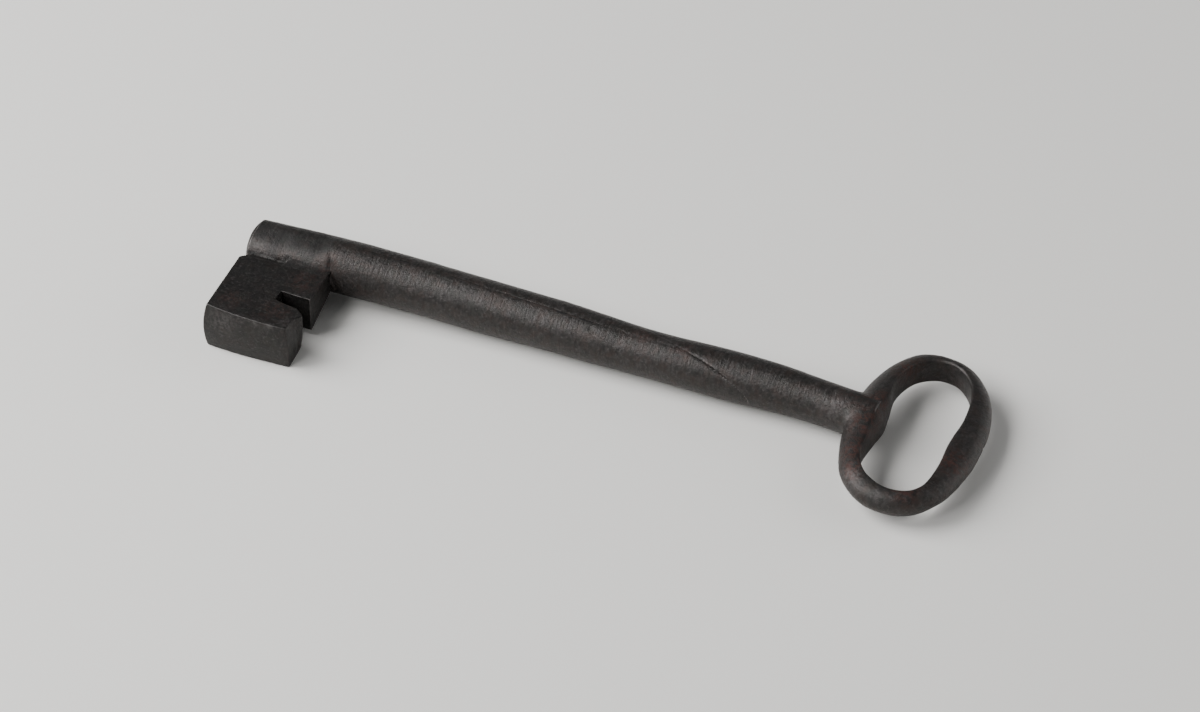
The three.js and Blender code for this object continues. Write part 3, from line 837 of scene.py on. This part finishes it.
def make_seam():
    """The braze in the barrel's long seam: a thin, slightly uneven strip, sunk a little under the iron."""
    step = (SEAM_BRAZE_END - SEAM_START) / SEAM_BRAZE_STEPS
    bm = bmesh.new()
    first = bm.faces.new([bm.verts.new((SEAM_START, across, up)) for across, up in SEAM_BRAZE_SECTION])
    ring = [first]
    for _ in range(SEAM_BRAZE_STEPS):
        grown = bmesh.ops.extrude_face_region(bm, geom=ring)["geom"]
        bmesh.ops.translate(bm, verts=picked(grown, bmesh.types.BMVert), vec=(step, 0, 0))
        old = ring
        ring = picked(grown, bmesh.types.BMFace)
        if old[0] is not first:
            bmesh.ops.delete(bm, geom=old, context="FACES_ONLY")
    for vertex in bm.verts:
        x, across, up = vertex.co
        across *= SEAM_BRAZE_WIDTH + forged((x, 0, 0), SEAM_BRAZE_WAVER)
        reach = shank_radius(x) + up + forged((x, across, 0), SEAM_BRAZE_DENTS)
        angle = seam_angle(x) - across / reach
        vertex.co = Vector((x, axis_y(x) - reach * math.sin(angle), axis_z(x) + reach * math.cos(angle)))
    return to_object(bm, "seam_braze_strip", "seam_braze")


class Socket:
    """A shader socket that takes part in Python arithmetic."""

    def __init__(self, tree, socket):
        self.tree = tree
        self.socket = socket

    def math(self, operation, other):
        node = self.tree.nodes.new("ShaderNodeMath")
        node.operation = operation
        feed(self.tree, node.inputs[0], self)
        feed(self.tree, node.inputs[1], other)
        return Socket(self.tree, node.outputs[0])

    def __add__(self, other):
        return self.math("ADD", other)

    def __mul__(self, other):
        return self.math("MULTIPLY", other)

    def __rsub__(self, other):
        return (self * -1).math("ADD", other)

    __radd__ = __add__
    __rmul__ = __mul__

    def most(self, other):
        return self.math("MAXIMUM", other)

    def step(self, low, high):
        """0 below low, 1 above high, smooth between."""
        node = self.tree.nodes.new("ShaderNodeMapRange")
        node.interpolation_type = "SMOOTHSTEP"
        feed(self.tree, node.inputs["Value"], self)
        node.inputs["From Min"].default_value = low
        node.inputs["From Max"].default_value = high
        return Socket(self.tree, node.outputs["Result"])


def feed(tree, slot_in, value):
    if isinstance(value, Socket):
        tree.links.new(value.socket, slot_in)
    else:
        slot_in.default_value = value


def blend(layers, shares, base=0.0):
    """Sum of layers by name, each times its share."""
    return sum((share * layers[name] for name, share in shares.items()), base)


class Finish:
    """One material: nodes by type, settings and inputs, on the key's own coordinates in millimetres."""

    def __init__(self, name):
        self.material = bpy.data.materials.new(name)
        self.material.use_nodes = True
        self.tree = self.material.node_tree
        self.tree.nodes.clear()
        coordinates = self.node("ShaderNodeTexCoord", {}, {}, "Object")
        shifted = self.vector("SUBTRACT", {0: coordinates, 1: tuple(KEY_ORIGIN)})
        self.point = self.vector("SCALE", {0: shifted, "Scale": 1 / MM})
        self.worn = self.node("ShaderNodeAttribute", {"attribute_name": "worn"}, {}, "Fac")

    def node(self, kind, settings, inputs, output):
        node = self.tree.nodes.new(kind)
        for key, value in settings.items():
            setattr(node, key, value)
        for key, value in inputs.items():
            feed(self.tree, node.inputs[key], value)
        return Socket(self.tree, node.outputs[output])

    def vector(self, operation, inputs, output="Vector"):
        return self.node("ShaderNodeVectorMath", {"operation": operation}, inputs, output)

    def noise(self, pattern, stretch=None):
        scale, detail, rough = pattern
        point = self.vector("MULTIPLY", {0: self.point, 1: stretch}) if stretch else self.point
        inputs = {"Vector": point, "Scale": scale, "Detail": detail, "Roughness": rough}
        return self.node("ShaderNodeTexNoise", {}, inputs, "Fac")

    def patches(self, rule):
        pattern, levels = rule
        return self.noise(pattern).step(*levels)

    def cells(self, scale):
        return self.node("ShaderNodeTexVoronoi", {}, {"Vector": self.point, "Scale": scale}, "Distance")

    def mix(self, share, low, high):
        inputs = {"Factor": share, MIX_LOW: low, MIX_HIGH: high}
        return self.node("ShaderNodeMix", {"data_type": "RGBA"}, inputs, MIX_RESULT)

    def near(self, x, y, z, reach):
        """1 at a point of the key, fading to 0 at a reach in millimetres."""
        gap = self.vector("DISTANCE", {0: self.point, 1: (x, y, z)}, "Value")
        return 1 - gap.step(0.0, reach)

    def spots(self, places):
        share = self.near(*places[0])
        for spot in places[1:]:
            share = share.most(self.near(*spot))
        return share

    def finish(self, colour, roughness, height, bump):
        inputs = {"Height": height, "Distance": BUMP_DISTANCE * MM, "Strength": bump}
        normal = self.node("ShaderNodeBump", {}, inputs, "Normal")
        shader = self.node("ShaderNodeBsdfPrincipled", {}, {
            "Base Color": colour, "Roughness": roughness, "Metallic": METALLIC, "Normal": normal,
        }, "BSDF")
        output = self.tree.nodes.new("ShaderNodeOutputMaterial")
        self.tree.links.new(shader.socket, output.inputs["Surface"])
        return self.material


def iron(name, stretch, reds, pale, dull, redness, bump, black):
    """Old worked iron: dark patina, brown mottling, pits, file marks, reddish stains and bare edges; dark
    spots paint shade and pale spots paint highlights.
    """
    f = Finish(name)
    red_spots = f.spots(reds)
    layers = {
        "broad": f.patches(BROAD),
        "mottle": f.patches(MOTTLE),
        "fine": f.noise(FINE),
        "grain": f.noise(GRAIN),
        "files": f.noise(FILE_MARKS, stretch),
        "pits": (1 - f.cells(PIT_SCALE).step(*PIT_LEVELS)) * f.patches(PIT_FIELDS),
        "stain": red_spots * f.patches(STAINED),
        "crease": (f.worn * -1).step(*CREASE_LEVELS),
        # painted shade: the dark spots are darkened and dulled
        "painted_shade": f.spots(dull),
    }
    # pale spots paint highlights, on the bit partly rubbed metal
    rubs_and_highlights = f.spots(pale) * f.patches(RUB_AND_HIGHLIGHT_PATCHES)
    edge = f.worn.step(*EDGE_LEVELS) * f.patches(EDGE_BREAKS) * (1 - red_spots * RED_EDGE_LOSS)
    sparks = layers["fine"].step(*SPARK_LEVELS) * (1 - layers["painted_shade"])
    sunk = (layers["pits"] * PIT_SHARE).most(layers["crease"] * CREASE_SHARE)
    colour = f.mix(blend(layers, GREY_SHARE), BLACK_IRON, GREY_IRON)
    for share, over in (
        (f.patches(BROWN) * BROWN_SHARE, BROWN_IRON),
        # painted shade at the dark spots, and each iron's blackening
        ((layers["painted_shade"] * PAINTED_SHADE_SHARE).most(black), DEEP_BLACK),
        (f.patches(TINT) * TINT_SHARE, GREEN_BLACK),
        (layers["stain"] * redness, RED_BROWN),
        (rubs_and_highlights * PALE_SHARE, BARE_IRON_AND_HIGHLIGHT),
        (edge * EDGE_SHARE, BARE_IRON_AND_HIGHLIGHT),
        (sparks * SPARK_SHARE, BARE_IRON_AND_HIGHLIGHT),
        (sunk, BLACK_IRON),
    ):
        colour = f.mix(share, colour, over)
    return f.finish(colour, blend(layers, ROUGHNESS_SHARE, ROUGHNESS), blend(layers, HEIGHT_SHARE), bump)


def braze_finish():
    """The seam's filling: dull, reddish and darker than the iron beside it."""
    f = Finish("braze_patina")
    fine = f.noise(BRAZE_FINE)
    colour = f.mix(f.patches(BRAZE_PATCHES) * BRAZE_BROWN_SHARE, DEEP_BLACK, BROWN_IRON)
    height = fine + BRAZE_GRAIN_HEIGHT * f.noise(BRAZE_GRAIN)
    return f.finish(colour, BRAZE_ROUGHNESS + BRAZE_ROUGHNESS_SHARE * fine, height, BRAZE_BUMP)


def aim(obj, target):
    obj.rotation_euler = (Vector(target) - obj.location).to_track_quat("-Z", "Y").to_euler()


def make_camera():
    back = Vector((
        math.sin(VIEW_AZIMUTH) * math.cos(VIEW_ELEVATION),
        -math.cos(VIEW_AZIMUTH) * math.cos(VIEW_ELEVATION),
        math.sin(VIEW_ELEVATION),
    ))
    data = bpy.data.cameras.new("photo_view")
    data.sensor_width = SENSOR_WIDTH
    data.lens = SENSOR_WIDTH * VIEW_DISTANCE / FRAME_WIDTH
    camera = bpy.data.objects.new("photo_view", data)
    bpy.context.scene.collection.objects.link(camera)
    camera.location = place(*VIEW_TARGET) + back * VIEW_DISTANCE
    aim(camera, place(*VIEW_TARGET))
    bpy.context.scene.camera = camera


def make_floor():
    bm = bmesh.new()
    bmesh.ops.create_grid(bm, x_segments=2, y_segments=2, size=FLOOR_HALF)
    mesh = bpy.data.meshes.new("floor")
    bm.to_mesh(mesh)
    bm.free()
    floor = bpy.data.objects.new("floor", mesh)
    bpy.context.scene.collection.objects.link(floor)
    material = bpy.data.materials.new("studio_floor")
    material.use_nodes = True
    shader = material.node_tree.nodes["Principled BSDF"]
    shader.inputs["Base Color"].default_value = FLOOR_COLOUR
    shader.inputs["Roughness"].default_value = FLOOR_ROUGHNESS
    mesh.materials.append(material)


def make_lamp(name, where, size, power):
    data = bpy.data.lights.new(name, "AREA")
    data.shape = "RECTANGLE"
    data.size, data.size_y = size
    data.energy = power
    lamp = bpy.data.objects.new(name, data)
    bpy.context.scene.collection.objects.link(lamp)
    lamp.location = where
    aim(lamp, LAMP_TARGET)


def make_sky():
    """Pale walls all round and a dim ceiling."""
    world = bpy.data.worlds.new("studio")
    bpy.context.scene.world = world
    world.use_nodes = True
    tree = world.node_tree
    background = tree.nodes["Background"]
    background.inputs["Color"].default_value = SKY_COLOUR
    direction = tree.nodes.new("ShaderNodeTexCoord")
    parts = tree.nodes.new("ShaderNodeSeparateXYZ")
    tree.links.new(direction.outputs["Generated"], parts.inputs["Vector"])
    ceiling = Socket(tree, parts.outputs["Z"]).step(*SKY_CHANGE)
    feed(tree, background.inputs["Strength"], WALL_LIGHT + (CEILING_LIGHT - WALL_LIGHT) * ceiling)


make_camera()
make_floor()
make_sky()
for lamp in LAMPS:
    make_lamp(*lamp)

barrel = make_barrel()
stem = make_stem()
bow = make_bow()
bit = make_bit()
neck_braze = make_braze([stem, bow], NECK_BRAZE, "neck_braze_fillet", "neck_braze")
top_braze = make_braze([barrel, bit], TOP_BRAZE, "bit_braze_lip", "bit_braze_top")
under_braze = make_braze([barrel, bit], UNDER_BRAZE, "bit_braze_fillet", "bit_braze_under")
seam = make_seam()

# Irons with patina, with painted shade at their dark spots and painted highlights at their pale spots.
shank_iron = iron("shank_iron_patina_and_painted_light", **SHANK_IRON)
bow_iron = iron("bow_iron_patina_and_painted_light", **BOW_IRON)
bit_iron = iron("bit_iron_patina_and_painted_light", **BIT_IRON)
root_iron = iron("root_iron_patina_and_painted_light", **ROOT_IRON)
braze_iron = braze_finish()
for piece, finish in (
    (barrel, shank_iron),
    (stem, shank_iron),
    (bow, bow_iron),
    (bit, bit_iron),
    (neck_braze, bow_iron),
    (top_braze, root_iron),
    (under_braze, braze_iron),
    (seam, braze_iron),
):
    piece.data.materials.clear()
    piece.data.materials.append(finish)
